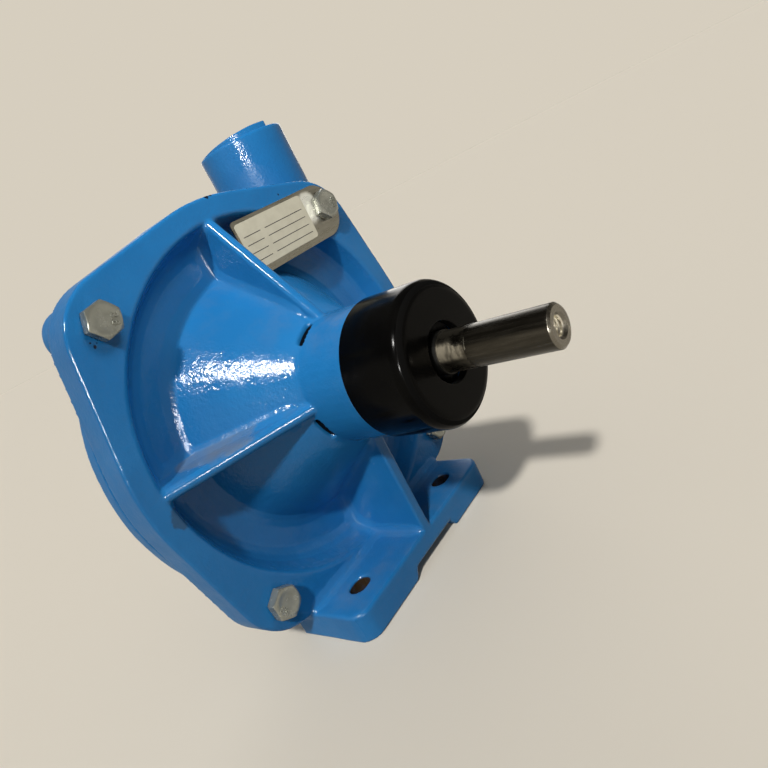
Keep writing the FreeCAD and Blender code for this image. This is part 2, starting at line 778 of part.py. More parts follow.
def snap_ring(outer, inner, gap):
    """An open ring against the front bearing, with a gap in degrees at the top."""
    y0 = front_bearing_y - snap_ring_thickness
    profile = Part.makePolygon([FreeCAD.Vector(r, y, 0) for r, y in
                                ((inner, y0), (outer, y0), (outer, front_bearing_y),
                                 (inner, front_bearing_y), (inner, y0))])
    return spun(Part.Face(profile).revolve(ORIGIN, SHAFT, 360 - gap), top_angle - gap / 2)


def bearing(y0):
    """The pieces of one shielded ball bearing whose front face is at y0, by name."""
    y1 = y0 + bearing_width
    middle = (y0 + y1) / 2
    groove = Part.makeTorus(pitch_radius, ball_radius + ball_clearance, FreeCAD.Vector(0, middle, 0), SHAFT)
    outer = ring(bearing_outer_radius, race_outer_land, y0, y1)
    step = race_outer_land + shield_step
    depth = shield_inset + shield_thickness
    steps = [ring(step, race_outer_land - overshoot, y, y + depth) for y in (y0, y1 - depth)]
    inner = ring(race_inner_land, journal_radius, y0, y1)
    angles = [360.0 / ball_count * i for i in range(ball_count)]

    ball = Part.makeSphere(ball_radius, FreeCAD.Vector(pitch_radius, middle, 0))
    pocket = Part.makeCylinder(ball_radius + pocket_clearance, 2 * ball_radius,
                               FreeCAD.Vector(pitch_radius - ball_radius, middle, 0), FreeCAD.Vector(1, 0, 0))
    cage = ring(pitch_radius + cage_half_thickness, pitch_radius - cage_half_thickness,
                middle - cage_width / 2, middle + cage_width / 2)
    shields = [ring(step, race_inner_land + shield_lift, y, y + shield_thickness)
               for y in (y0 + shield_inset, y1 - depth)]
    return {"outer_race": outer.cut([groove] + steps), "inner_race": inner.cut(groove),
            "balls": Part.makeCompound([spun(ball, angle) for angle in angles]),
            "cage": cage.cut([spun(pocket, angle) for angle in angles]),
            "shields": Part.makeCompound(shields)}


def slinger_ring():
    y0 = (cavity_front_y + cavity_back_y - slinger_width) / 2
    y1 = y0 + slinger_width
    hub = seal_shaft_radius + slinger_hub_wall
    return turned([(seal_shaft_radius, y0 - slinger_lean, 0), (hub, y0 - slinger_lean, slinger_round),
                   (hub + slinger_lean / 2, y0, 0), (slinger_radius, y0, slinger_round),
                   (slinger_radius, y0 + slinger_width / 2, slinger_round),
                   (hub + slinger_lean, y1, slinger_round), (seal_shaft_radius, y1, 0)])


def seal_pieces():
    """The mechanical seal, front to back."""
    cup_bore = seat_bore + cup_bore_clearance
    seat_y = pocket_floor_y + cup_floor
    cup = turned(sharp((cup_bore, pocket_floor_y), (seat_pocket_radius, pocket_floor_y),
                       (seat_pocket_radius, pocket_mouth_y), (seat_radius, pocket_mouth_y),
                       (seat_radius, seat_y), (cup_bore, seat_y)))
    seat = ring(seat_radius, seat_bore, seat_y, seat_face_y)
    carbon = ring(face_radius, seal_shaft_radius + face_bore_clearance, carbon_y, bellows_y)
    shell_y = carbon_y + face_length - shell_length / 2
    flange_y = shell_y + shell_length
    bellows_end = bellows_y + bellows_length
    collar_y = bellows_end - collar_length
    neck = seal_shaft_radius + bellows_wall
    collar = neck + collar_wall
    bellows = turned([(seal_shaft_radius, bellows_y, 0), (face_radius, bellows_y, 0),
                      (face_radius, flange_y, 0), (neck, flange_y, bellows_round),
                      (neck, collar_y, bellows_round), (collar, collar_y, collar_round),
                      (collar, bellows_end, collar_round), (seal_shaft_radius, bellows_end, 0)])
    shell_back = flange_y + shell_wall
    shell_bore = neck + shell_bore_clearance
    shell = turned(sharp((face_radius, shell_y), (face_radius + shell_wall, shell_y),
                         (face_radius + shell_wall, shell_back), (shell_bore, shell_back),
                         (shell_bore, flange_y), (face_radius, flange_y)))
    spring_seat_y = hub_front_y - spring_seat_width
    rise = spring_seat_y - shell_back - 2 * spring_wire_radius
    helix = Part.makeHelix(rise / spring_turns, rise, spring_radius)
    section = Part.Wire(Part.makeCircle(spring_wire_radius, FreeCAD.Vector(spring_radius, 0, 0), SHAFT))
    spring = Part.Wire(helix.Edges).makePipeShell([section], True, True)
    spring.rotate(ORIGIN, FreeCAD.Vector(1, 0, 0), -90)
    spring = moved(spring, 0, shell_back + spring_wire_radius, 0)
    return {"seal_seat_cup": cup, "seal_seat": seat, "seal_face": carbon, "seal_bellows": bellows,
            "seal_shell": shell, "seal_spring": spring,
            "seal_spring_seat": ring(spring_radius + spring_seat_rim, seal_shaft_radius,
                                     spring_seat_y, hub_front_y)}


def impeller_vane():
    """One backward-curved vane, as a prism between the shrouds."""
    inner = eye_radius + vane_inset
    middle = (inner + impeller_radius) / 2
    wrap = math.radians(vane_wrap_angle)
    y0 = impeller_y + shroud_thickness - vane_overlap

    def side(inlet_turn, outlet_turn):
        turns = (inlet_turn, inlet_turn - vane_middle_share * wrap, outlet_turn - wrap)
        return [FreeCAD.Vector(radius * math.cos(angle), y0, radius * math.sin(angle))
                for radius, angle in zip((inner, middle, impeller_radius), turns)]

    first = side(0.0, 0.0)
    second = side(vane_inlet_width / inner, vane_outlet_width / impeller_radius)
    edges = [Part.Arc(*first).toShape(), Part.LineSegment(first[2], second[2]).toShape(),
             Part.Arc(*second).toShape(), Part.LineSegment(second[0], first[0]).toShape()]
    wire = Part.Wire(Part.__sortEdges__(edges))
    return Part.Face(wire).extrude(FreeCAD.Vector(0, impeller_width + 2 * vane_overlap, 0))


def impeller():
    back_face = impeller_y + shroud_thickness
    ring_radius = eye_radius + eye_ring_wall
    back = turned([(0, hub_front_y, 0), (hub_radius, hub_front_y, hub_edge_round),
                   (hub_radius, impeller_y, hub_root_round), (impeller_radius, impeller_y, 0),
                   (impeller_radius, back_face, 0), (hub_radius + hub_flare, back_face, hub_flare_round),
                   (hub_nose_radius, hub_back_y, 0), (0, hub_back_y, 0)])
    front = turned([(eye_radius, hub_back_y, 0), (impeller_radius, hub_back_y, 0),
                    (impeller_radius, front_shroud_back_y, 0),
                    (ring_radius, front_shroud_back_y, eye_ring_round),
                    (ring_radius, eye_ring_back_y, 0), (eye_radius, eye_ring_back_y, 0)])
    vanes = [spun(impeller_vane(), 360.0 / vane_count * i) for i in range(vane_count)]
    solid = joined([back, front] + vanes)
    y0 = hub_front_y - overshoot
    y1 = hub_back_y + overshoot
    top = impeller_seat_radius - key_in_shaft + key_width
    keyway = box(-key_width / 2, key_width / 2, y0, y1, 0, top)
    return solid.cut([cylinder(impeller_seat_radius, y0, y1), keyway])


def impeller_nut():
    seat = hub_back_y + washer_thickness
    outer = seat + nut_height
    return chamfered_hexagon(nut_across_flats, seat, outer).cut(cylinder(stud_radius, seat, outer))


def casing_o_ring():
    centre = FreeCAD.Vector(0, flange_thickness + spigot_length / 2, 0)
    return Part.makeTorus(spigot_radius + register_clearance - o_ring_section, o_ring_section, centre, SHAFT)


def impeller_washer():
    return ring(washer_radius, stud_radius, hub_back_y, hub_back_y + washer_thickness)


def all_pieces():
    pieces = {"bearing_bracket": bearing_bracket(), "volute_casing": volute_casing(),
              "casing_bolts": casing_bolts(), "nameplate": nameplate(), "shaft_guard": shaft_guard(),
              "pump_shaft": pump_shaft(), "slinger_ring": slinger_ring(), "impeller": impeller(),
              "impeller_key": key_block(), "impeller_nut": impeller_nut(),
              "impeller_washer": impeller_washer(), "casing_o_ring": casing_o_ring(),
              "drain_plug": pipe_plug(-1), "vent_plug": pipe_plug(1)}
    outer = bearing_outer_radius + housing_groove_depth
    pieces["housing_snap_ring"] = snap_ring(outer, outer - housing_ring_width, snap_ring_gap_angle)
    inner = journal_radius - shaft_groove_depth
    pieces["shaft_snap_ring"] = snap_ring(inner + shaft_ring_width, inner, 2 * snap_ring_gap_angle)
    pieces.update(seal_pieces())
    for side, y0 in (("front", front_bearing_y), ("rear", rear_bearing_y)):
        for name, shape in bearing(y0).items():
            pieces[f"{side}_bearing_{name}"] = shape
    return pieces


os.makedirs("parts", exist_ok=True)
for name, shape in all_pieces().items():
    placed = moved(shape, 0, slot_setback, shaft_height)
    placed.exportStep(f"parts/{name}.step")
    print(name, "valid" if shape.isValid() else "INVALID", len(shape.Solids), round(shape.Volume, 1))
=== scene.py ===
import json
import math
from functools import reduce

import bpy
import numpy as np
from mathutils import Matrix, Vector
from mathutils.bvhtree import BVHTree

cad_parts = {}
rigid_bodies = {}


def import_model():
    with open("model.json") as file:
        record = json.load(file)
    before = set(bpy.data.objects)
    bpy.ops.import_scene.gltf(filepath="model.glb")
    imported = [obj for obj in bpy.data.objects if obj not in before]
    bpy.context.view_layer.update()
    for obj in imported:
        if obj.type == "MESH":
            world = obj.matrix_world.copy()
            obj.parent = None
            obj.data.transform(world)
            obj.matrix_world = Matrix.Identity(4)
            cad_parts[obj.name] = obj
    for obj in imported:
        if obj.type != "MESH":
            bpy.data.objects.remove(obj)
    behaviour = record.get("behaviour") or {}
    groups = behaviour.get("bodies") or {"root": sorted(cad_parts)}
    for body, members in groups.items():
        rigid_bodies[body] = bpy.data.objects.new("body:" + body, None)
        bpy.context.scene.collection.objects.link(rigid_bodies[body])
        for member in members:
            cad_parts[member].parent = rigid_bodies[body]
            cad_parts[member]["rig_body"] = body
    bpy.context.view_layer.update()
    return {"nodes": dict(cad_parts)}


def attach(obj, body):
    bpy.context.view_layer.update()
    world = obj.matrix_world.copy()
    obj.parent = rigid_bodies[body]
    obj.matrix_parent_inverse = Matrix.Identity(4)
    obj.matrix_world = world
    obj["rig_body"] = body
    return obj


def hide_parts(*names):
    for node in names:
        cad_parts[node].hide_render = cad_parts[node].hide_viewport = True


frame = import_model()

# Places are worked out in millimetres about the shaft axis, with y = 0 on the flange's front
# face, and then moved into the part's own frame.
SHIFT = np.array([0.0, 14.0, 96.5])
MM = 0.001

# Sizes and places in those millimetres that several functions share
BOLT_OFFSET = 66.33
FOOT_SLOT_X, FOOT_SLOT_Y = 38.0, -14.0
WEEP_SLOT_Y = -31.0
DISCHARGE_X, DISCHARGE_Y, DISCHARGE_RIM = 75.0, 38.5, 113.7
SHAFT_END_Y = -129.82


def place(points):
    """Shaft-axis millimetres to the part's metres."""
    return (np.asarray(points, dtype=float) + SHIFT) * MM


def unplace(points):
    """The part's metres to shaft-axis millimetres."""
    return np.asarray(points, dtype=float) / MM - SHIFT


def ramp(value, low, high):
    """0 below low, 1 above high and smooth between."""
    share = np.clip((value - low) / (high - low), 0, 1)
    return share * share * (3 - 2 * share)


# Node graphs

class Graph:
    """A material's or world's node tree, with short calls to add and join nodes."""

    def __init__(self, tree):
        self.tree = tree
        tree.nodes.clear()

    def add(self, kind, inputs=(), **settings):
        node = self.tree.nodes.new(kind)
        for name, value in settings.items():
            setattr(node, name, value)
        for key, value in dict(inputs).items():
            self.feed(node.inputs[key], value)
        return node

    def feed(self, socket, value):
        if isinstance(value, bpy.types.NodeSocket):
            self.tree.links.new(value, socket)
        elif isinstance(value, bpy.types.Node):
            self.tree.links.new(value.outputs[0], socket)
        else:
            socket.default_value = value

    def math(self, operation, a, b=0.0):
        return self.add("ShaderNodeMath", {0: a, 1: b}, operation=operation).outputs[0]

    def times(self, *values):
        return reduce(lambda a, b: self.math("MULTIPLY", a, b), values)

    def plus(self, *values):
        return reduce(lambda a, b: self.math("ADD", a, b), values)

    def less(self, a, b):
        return self.math("SUBTRACT", a, b)

    def most(self, *values):
        return reduce(lambda a, b: self.math("MAXIMUM", a, b), values)

    def off(self, a, b):
        """How far a lies from b on either side."""
        return self.math("ABSOLUTE", self.less(a, b))

    def length(self, a, b):
        """The length of a step that goes a one way and b square to it."""
        return self.math("SQRT", self.plus(self.times(a, a), self.times(b, b)))

    def vectors(self, operation, a, b):
        return self.add("ShaderNodeVectorMath", {0: a, 1: tuple(b)}, operation=operation).outputs

    def split(self, vector):
        return self.add("ShaderNodeSeparateXYZ", {0: vector}).outputs

    def mix(self, factor, a, b):
        """From a to b, each a socket or three numbers."""
        node = self.add("ShaderNodeMix", data_type="RGBA")
        for index, value in ((0, factor), (6, a), (7, b)):
            self.feed(node.inputs[index], value + (1,) if isinstance(value, tuple) else value)
        return node.outputs[2]

    def painted(self, colour, *layers):
        """The colour with each layer's colour laid over it where its mask is 1."""
        return reduce(lambda under, layer: self.mix(layer[0], under, layer[1]), layers, colour)

    def span(self, value, low, high, to_low=0.0, to_high=1.0):
        """value from low..high to to_low..to_high, clamped, with smooth ends."""
        return self.add("ShaderNodeMapRange", {0: value, 1: low, 2: high, 3: to_low, 4: to_high},
                        interpolation_type="SMOOTHSTEP").outputs[0]

    def attribute(self, name):
        return self.add("ShaderNodeAttribute", attribute_name=name).outputs["Fac"]

    def facing(self):
        """The x, y and z of the surface's normal."""
        return self.split(self.add("ShaderNodeNewGeometry").outputs["Normal"])

    def where(self):
        return self.add("ShaderNodeTexCoord").outputs["Object"]

    def where_mm(self):
        """x, y and z in shaft-axis millimetres."""
        millimetres = self.vectors("DIVIDE", self.where(), (MM, MM, MM))[0]
        return self.split(self.vectors("SUBTRACT", millimetres, SHIFT)[0])

    def stretched(self, scale):
        return self.add("ShaderNodeMapping", {"Vector": self.where(), "Scale": scale}).outputs[0]

    def grain(self, size, detail=2.0, rough=0.5, vector=None):
        """Noise with features about size metres across."""
        return self.add("ShaderNodeTexNoise", {"Vector": vector or self.where(), "Scale": 0.6 / size,
                                               "Detail": detail, "Roughness": rough}).outputs[0]

    def bump(self, height, distance, strength=1.0, normal=None):
        inputs = {"Height": height, "Distance": distance, "Strength": strength}
        if normal is not None:
            inputs["Normal"] = normal
        return self.add("ShaderNodeBump", inputs).outputs[0]

    def near(self, centre, reach, ragged=0.35, size=0.002):
        """1 around a place in shaft-axis millimetres, falling to 0 at about reach millimetres, ragged."""
        away = self.vectors("DISTANCE", self.where(), place(centre))["Value"]
        edge = self.times(self.less(self.grain(size, 3.0, 0.6), 0.5), ragged * 4 * reach * MM)
        return self.span(self.plus(away, edge), reach * MM, reach * MM * 0.7)


def material(name):
    made = bpy.data.materials.new(name)
    made.use_nodes = True
    return made, Graph(made.node_tree)


def finish_with(graph, **inputs):
    """The Principled shader with those inputs, joined to the output."""
    names = {key.replace("_", " "): value for key, value in inputs.items()}
    shader = graph.add("ShaderNodeBsdfPrincipled", names)
    graph.add("ShaderNodeOutputMaterial", {"Surface": shader.outputs[0]})


# Blue enamel

# Places of paint chips in shaft-axis millimetres, with their reach
CHIPS = (((-72.6, 0.0, 59.6), 0.7), ((-73.3, 0.0, 61.4), 0.5), ((-71.2, 0.0, 60.4), 0.35),
         ((5.4, 0.4, 91.4), 1.3), ((7.6, 0.4, 91.6), 0.8), ((-89.8, 0.2, 26.4), 0.6),
         ((-91.2, 0.3, 20.8), 0.55), ((-86.4, 0.2, 46.5), 0.4), ((-31.0, 0.0, -86.0), 0.5),
         ((44.0, 0.0, 80.0), 0.5), ((52.0, -29.0, -93.0), 0.9), ((-55.0, -29.0, -90.0), 0.7))
RIB_DUST_AT, RIB_DUST_REACH = (-52.0, 0.0, 4.5), 21.0
# A painted shadow on the flange just below the left rib's outer end, where the rib's end casts one
RIB_END_SHADOW_AT, RIB_END_SHADOW_REACH = (-82.0, 0.0, -9.5), 5.0
PORT_HAZE_AT, PORT_HAZE_REACH = (58.5, 24.5, 86.0), 15.5


def settled_dust(g):
    """Dust on what faces up and in hollows, and more of it beside the left rib."""
    up = g.facing()[2]
    all_over = g.times(g.span(up, 0.45, 0.95), g.span(g.grain(0.010, 5.0, 0.65), 0.40, 0.70))
    all_over = g.times(g.plus(all_over, g.times(g.attribute("hollow"), 0.4)), 0.16)
    by_rib = g.times(g.near(RIB_DUST_AT, RIB_DUST_REACH, 0.25, 0.008), g.span(up, 0.30, 0.85),
                     g.span(g.grain(0.009, 5.0, 0.65), 0.2, 0.9, 0.25, 0.75))
    return g.most(all_over, by_rib)


def foot_slot_walls(g, x, y, z):
    """1 on the walls of the foot's two slots, below their upper edges."""
    past_straight = g.most(g.less(g.off(g.math("ABSOLUTE", x), FOOT_SLOT_X), 1.0), 0.0)
    away = g.length(past_straight, g.less(y, FOOT_SLOT_Y))
    return g.times(g.span(away, 5.1, 4.8), g.span(z, -83.1, -83.9))


def weep_slot_walls(g, y, radius):
    """1 inside the weep slots, short of the barrel's outside and of its bore, where they are painted
    near-black as shade.
    """
    across = g.span(g.off(y, WEEP_SLOT_Y), 1.85, 1.65)
    return g.times(across, g.span(radius, 27.6, 27.2), g.span(radius, 20.5, 21.5))


def blue_enamel():
    """Thick gloss enamel over a cast surface, with dust, a few chips, a painted shadow below the left rib's
    outer end and painted shade inside the weep slots.
    """
    made, g = material("blue_enamel")
    x, y, z = g.where_mm()
    radius = g.length(x, z)
    dust = settled_dust(g)
    # Painted shadow below the left rib's outer end
    rib_end_shadow = g.times(g.near(RIB_END_SHADOW_AT, RIB_END_SHADOW_REACH, 0.4, 0.003), 0.55)
    chips = g.most(*(g.near(spot, reach, 0.5, 0.0012) for spot, reach in CHIPS))
    rust = g.times(foot_slot_walls(g, x, y, z), g.span(g.grain(0.004, 4.0, 0.6), 0.25, 0.6, 0.75, 1.0))
    flange_side = g.times(g.span(radius, 78.0, 82.0), g.span(g.off(g.facing()[1], 0.0), 0.6, 0.3))
    port_haze = g.near(PORT_HAZE_AT, PORT_HAZE_REACH, 0.10, 0.006)
    ridge = g.attribute("ridge")

    enamel = g.mix(g.span(g.grain(0.03, 3.0, 0.5), 0.35, 0.65), (0.012, 0.150, 0.395), (0.016, 0.176, 0.445))
    colour = g.painted(enamel, (dust, (0.19, 0.175, 0.145)), (rib_end_shadow, (0.03, 0.035, 0.03)),
                       (chips, (0.003, 0.012, 0.034)), (rust, (0.045, 0.028, 0.014)),
                       # Painted shade: near-black inside the weep slots
                       (weep_slot_walls(g, y, radius), (0.006, 0.010, 0.016)))
    rough = g.plus(g.span(g.grain(0.006, 3.0), 0.3, 0.7, 0.11, 0.20), g.times(dust, 0.5), g.times(chips, 0.1),
                   g.times(flange_side, 0.32), g.times(port_haze, 0.22), g.times(ridge, -0.03))
    # The edges are smoother than the faces, so that the highlight lines along them stay whole
    wavy = g.bump(g.grain(0.0030, 2.0, 0.5), 0.00026, g.less(0.7, g.times(ridge, 0.5)))
    fine = g.less(g.grain(0.0008, 2.0, 0.55), g.times(chips, 0.5))
    normal = g.bump(fine, 0.00018, g.less(0.8, g.times(ridge, 0.62)), wavy)
    finish_with(g, Base_Color=colour, Roughness=rough, Specular_IOR_Level=0.26, Normal=normal)
    return made


# Steel, cap and plate

def shaft_steel():
    """Dark ground steel, browner and dull where a hub has rubbed, with a painted highlight on that band's
    upper-left flank, and painted near-black inside the guard as shade.
    """
    made, g = material("shaft_steel")
    x, y, z = g.where_mm()
    radius = g.length(x, z)
    scratches = g.grain(0.0010, 4.0, 0.65, g.stretched((1.0, 0.06, 1.0)))
    face = g.span(y, -128.8, -129.0)
    # Painted shade: inside the guard the shaft is coloured near-black
    guard_shade = g.span(y, -84.9, -84.5)
    tapped = g.times(g.span(radius, 3.9, 3.6), g.span(y, -114.0, -116.0))

    hub_band = g.times(g.span(y, -96.8, -96.2), g.span(y, -83.0, -84.0))
    blotches = g.span(g.grain(0.004, 5.0, 0.65, g.stretched((1.0, 0.5, 1.0))), 0.36, 0.56)
    streaks = g.span(g.grain(0.0009, 4.0, 0.7, g.stretched((0.25, 1.0, 0.25))), 0.35, 0.62, 0.45, 1.0)
    # A painted highlight: the rubbed band is made stronger and streaked on its upper-left flank, where light
    # falls
    lit_flank = g.times(g.span(z, -1.5, 0.5), g.span(z, 6.5, 4.3), g.near((-7.7, -88.5, 1.6), 8.6, 0.12, 0.004))
    rubbed_and_glare = g.times(hub_band, blotches, g.plus(0.18, g.times(lit_flank, streaks, 0.75)))
    witness_mark = g.times(g.span(y, -97.2, -97.1), g.span(y, -96.7, -96.8),
                           g.near((-6.6, -97.0, 4.2), 2.6, 0.1))

    steel = g.mix(g.span(scratches, 0.35, 0.65), (0.046, 0.042, 0.034), (0.074, 0.068, 0.056))
    # The rubbed band's colour is wear, and on its upper-left flank a painted highlight; the near-black inside
    # the guard is painted shade
    colour = g.painted(steel, (rubbed_and_glare, (0.25, 0.22, 0.16)), (witness_mark, (0.42, 0.40, 0.34)),
                       (face, (0.20, 0.185, 0.155)), (guard_shade, (0.010, 0.010, 0.009)),
                       (tapped, (0.78, 0.74, 0.64)))
    rough = g.plus(g.span(scratches, 0.3, 0.7, 0.21, 0.30), g.times(rubbed_and_glare, 0.40), g.times(guard_shade, 0.3))
    turning_marks = g.times(g.math("SINE", g.times(radius, 16.0)), face)
    normal = g.bump(turning_marks, 0.000012, 1.0, g.bump(scratches, 0.000012, 0.5))
    finish_with(g, Base_Color=colour, Metallic=g.less(1.0, g.times(rubbed_and_glare, 0.6)), Roughness=rough,
                Normal=normal)
    return made


def black_cap():
    """Glossy black moulding, dull inside where the shaft passes through."""
    made, g = material("black_cap")
    x, y, z = g.where_mm()
    inside = g.times(g.span(y, -84.4, -84.0), g.span(g.length(x, z), 27.4, 27.2))
    patches = g.span(g.grain(0.012, 4.0, 0.6), 0.35, 0.65)
    colour = g.mix(patches, (0.0014, 0.0014, 0.0014), (0.0024, 0.0023, 0.0021))
    haze = g.times(g.span(g.grain(0.004, 5.0, 0.7), 0.45, 0.75), 0.05)
    rough = g.plus(g.span(g.grain(0.006, 4.0, 0.6), 0.3, 0.7, 0.13, 0.20), haze, g.times(inside, 0.7))
    normal = g.bump(g.grain(0.0015, 3.0, 0.6), 0.00002, 0.6)
    finish_with(g, Base_Color=colour, Roughness=rough, Specular_IOR_Level=0.05, Normal=normal)
    return made


def plate_metal():
    """Bare rolled metal, with a painted glare beside its bolt."""
    made, g = material("plate_metal")
    rolled = g.grain(0.0012, 4.0, 0.6, g.stretched((0.12, 1.0, 1.0)))
    # Painted glare: a bright, less metallic patch beside the bolt
    rubbed_and_glare = g.near((58.0, -0.8, 68.0), 9.0, 0.12, 0.006)
    bare = g.mix(g.span(rolled, 0.3, 0.7), (0.31, 0.305, 0.26), (0.37, 0.36, 0.32))
    finish_with(g, Base_Color=g.mix(rubbed_and_glare, bare, (0.86, 0.85, 0.76)),
                Metallic=g.less(1.0, g.times(rubbed_and_glare, 0.6)), Roughness=g.span(rolled, 0.3, 0.7, 0.26, 0.38),
                Normal=g.bump(rolled, 0.000008, 0.6))
    return made


def solid(name, dark, light, rough_low, rough_high, grain=0.002, bump=0.00003, metallic=0.0):
    """Patches between two colours, with a fine grain of the given size and height in metres."""
    made, g = material(name)
    colour = g.mix(g.span(g.grain(grain * 4, 4.0, 0.6), 0.35, 0.65), dark, light)
    rough = g.span(g.grain(grain * 2, 4.0, 0.6), 0.3, 0.7, rough_low, rough_high)
    normal = g.bump(g.grain(grain, 3.0, 0.6), bump, 0.6)
    finish_with(g, Base_Color=colour, Metallic=metallic, Roughness=rough, Normal=normal)
    return made


def metal(name, dark, light, rough_low, rough_high, grain=0.002, bump=0.00002, metallic=1.0):
    return solid(name, dark, light, rough_low, rough_high, grain, bump, metallic)


LOOKS = {
    "blue_enamel": blue_enamel(),
    "shaft_steel": shaft_steel(),
    "black_cap": black_cap(),
    "plate_metal": plate_metal(),
    "zinc_plate": metal("zinc_plate", (0.26, 0.267, 0.23), (0.36, 0.367, 0.324), 0.18, 0.30,
                        grain=0.0012, bump=0.000008, metallic=0.6),
    "bearing_steel": metal("bearing_steel", (0.55, 0.55, 0.56), (0.65, 0.65, 0.66), 0.10, 0.18),
    "spring_steel": metal("spring_steel", (0.20, 0.20, 0.21), (0.32, 0.32, 0.33), 0.30, 0.45),
    "stainless": metal("stainless", (0.50, 0.50, 0.49), (0.62, 0.62, 0.61), 0.16, 0.28),
    "plug_steel": metal("plug_steel", (0.22, 0.20, 0.18), (0.34, 0.32, 0.28), 0.28, 0.45),
    # Near-black steel that paints shade on the parts seen through the guard's hole
    "shade_dark_steel": metal("shade_dark_steel", (0.030, 0.029, 0.027), (0.055, 0.052, 0.048), 0.55, 0.70),
    "seal_rubber": solid("seal_rubber", (0.012, 0.012, 0.012), (0.02, 0.02, 0.02), 0.55, 0.75),
    "ceramic": solid("ceramic", (0.74, 0.72, 0.66), (0.80, 0.78, 0.72), 0.12, 0.22),
    "carbon": solid("carbon", (0.02, 0.02, 0.02), (0.04, 0.04, 0.04), 0.28, 0.42),
    "bare_iron": solid("bare_iron", (0.10, 0.095, 0.09), (0.18, 0.17, 0.16), 0.45, 0.65,
                       grain=0.0012, bump=0.00012),
    "panel_cream": solid("panel_cream", (0.54, 0.51, 0.40), (0.58, 0.55, 0.435), 0.30, 0.42,
                         grain=0.001, bump=0.00001),
    "rule_ink": solid("rule_ink", (0.02, 0.02, 0.025), (0.04, 0.04, 0.045), 0.35, 0.5),
}

NODE_SLOTS = {
    "bearing_bracket": "blue_enamel", "volute_casing": "blue_enamel", "casing_bolts": "zinc_plate",
    "nameplate": "plate_metal", "shaft_guard": "black_cap", "casing_o_ring": "seal_rubber",
    "drain_plug": "plug_steel", "vent_plug": "plug_steel", "housing_snap_ring": "spring_steel",
    "front_bearing_outer_race": "bearing_steel", "front_bearing_shields": "stainless",
    "rear_bearing_outer_race": "bearing_steel", "rear_bearing_shields": "stainless",
    "seal_seat": "ceramic", "seal_seat_cup": "seal_rubber", "pump_shaft": "shaft_steel",
    "shaft_snap_ring": "spring_steel", "front_bearing_inner_race": "bearing_steel",
    "rear_bearing_inner_race": "bearing_steel", "slinger_ring": "seal_rubber", "seal_face": "carbon",
    "seal_bellows": "seal_rubber", "seal_shell": "stainless", "seal_spring": "stainless",
    "seal_spring_seat": "stainless", "impeller": "bare_iron", "impeller_key": "stainless",
    "impeller_washer": "stainless", "impeller_nut": "stainless", "front_bearing_balls": "bearing_steel",
    "front_bearing_cage": "stainless", "rear_bearing_balls": "bearing_steel",
    "rear_bearing_cage": "stainless",
}
# What is seen through the guard's hole is painted near-black and dull, as shade
SHADED_IN_GUARD = ("front_bearing_shields", "housing_snap_ring", "shaft_snap_ring", "front_bearing_outer_race",
           "front_bearing_inner_race")
for node_name, node in frame["nodes"].items():
    node.data.materials.clear()
    node.data.materials.append(LOOKS["shade_dark_steel" if node_name in SHADED_IN_GUARD else NODE_SLOTS[node_name]])


# Objects and meshes

def linked(name, data):
    """A new object in the scene that holds the data."""
    made = bpy.data.objects.new(name, data)
    bpy.context.scene.collection.objects.link(made)
    return made


def mesh_of(made):
    """The object's mesh with its modifiers applied, after which the object is gone."""
    bpy.context.view_layer.update()
    mesh = bpy.data.meshes.new_from_object(made.evaluated_get(bpy.context.evaluated_depsgraph_get()))
    bpy.data.objects.remove(made)
    return mesh


# Cast surfaces

class Skin:
    """A mesh's points and the edges between them, for smoothing."""

    def __init__(self, mesh):
        self.mesh = mesh
        points = np.empty(len(mesh.vertices) * 3)
        mesh.vertices.foreach_get("co", points)
        self.points = points.reshape(-1, 3)
        ends = np.empty(len(mesh.edges) * 2, dtype=np.int64)
        mesh.edges.foreach_get("vertices", ends)
        self.starts, self.ends = ends.reshape(-1, 2).T
        self.counts = np.bincount(ends, minlength=len(self.points)).astype(float)

    def beside(self, values):
        """For each point the mean of what its neighbours have."""
        total = (np.bincount(self.starts, values[self.ends], len(values))
                 + np.bincount(self.ends, values[self.starts], len(values)))
        return total / self.counts

    def pull(self):
        """The way from each point to the middle of its neighbours."""
        return np.stack([self.beside(self.points[:, axis]) for axis in range(3)], axis=1) - self.points

    def move(self, way):
        self.points = self.points + way

    def write(self):
        self.mesh.vertices.foreach_set("co", self.points.ravel())
        self.mesh.update()

    def normals(self):
        self.write()
        normals = np.empty(self.points.size)
        self.mesh.vertex_normals.foreach_get("vector", normals)
        return normals.reshape(-1, 3)

    def keep(self, name, values):
        """The values as a point attribute that a material can read."""
        self.mesh.attributes.new(name, "FLOAT", "POINT").data.foreach_set("value", values)


def remeshed(source, name, voxel):
    """A copy of the CAD mesh made of even quads."""
    raw = linked(name, source.data.copy())
    raw.modifiers.new("weld", "WELD").merge_threshold = 0.000002
    remesh = raw.modifiers.new("remesh", "REMESH")
    remesh.mode = "VOXEL"
    remesh.voxel_size = voxel
    remesh.use_smooth_shade = True
    return mesh_of(raw)


def fill_corners(skin, free, passes):
    """Raises the inner corners into fillets where free is 1, and says how far each point rose."""
    risen = np.zeros(len(skin.points))
    for step in range(passes):
        if step % 4 == 0:
            normals = skin.normals()
        lift = np.maximum(np.einsum("ij,ij->i", skin.pull(), normals), 0) * 0.9 * free
        risen += lift
        skin.move(normals * lift[:, None])
    return risen


def nearest_on(tree, points):
    """For each point the nearest place on the CAD surface, and how far the point stands out from it."""
    places, stands = np.empty_like(points), np.empty(len(points))
    for i, point in enumerate(points):
        spot, normal, _, away = tree.find_nearest(point)
        places[i] = spot
        stands[i] = away if (Vector(point) - spot).dot(normal) > 0 else 0.0
    return places, stands


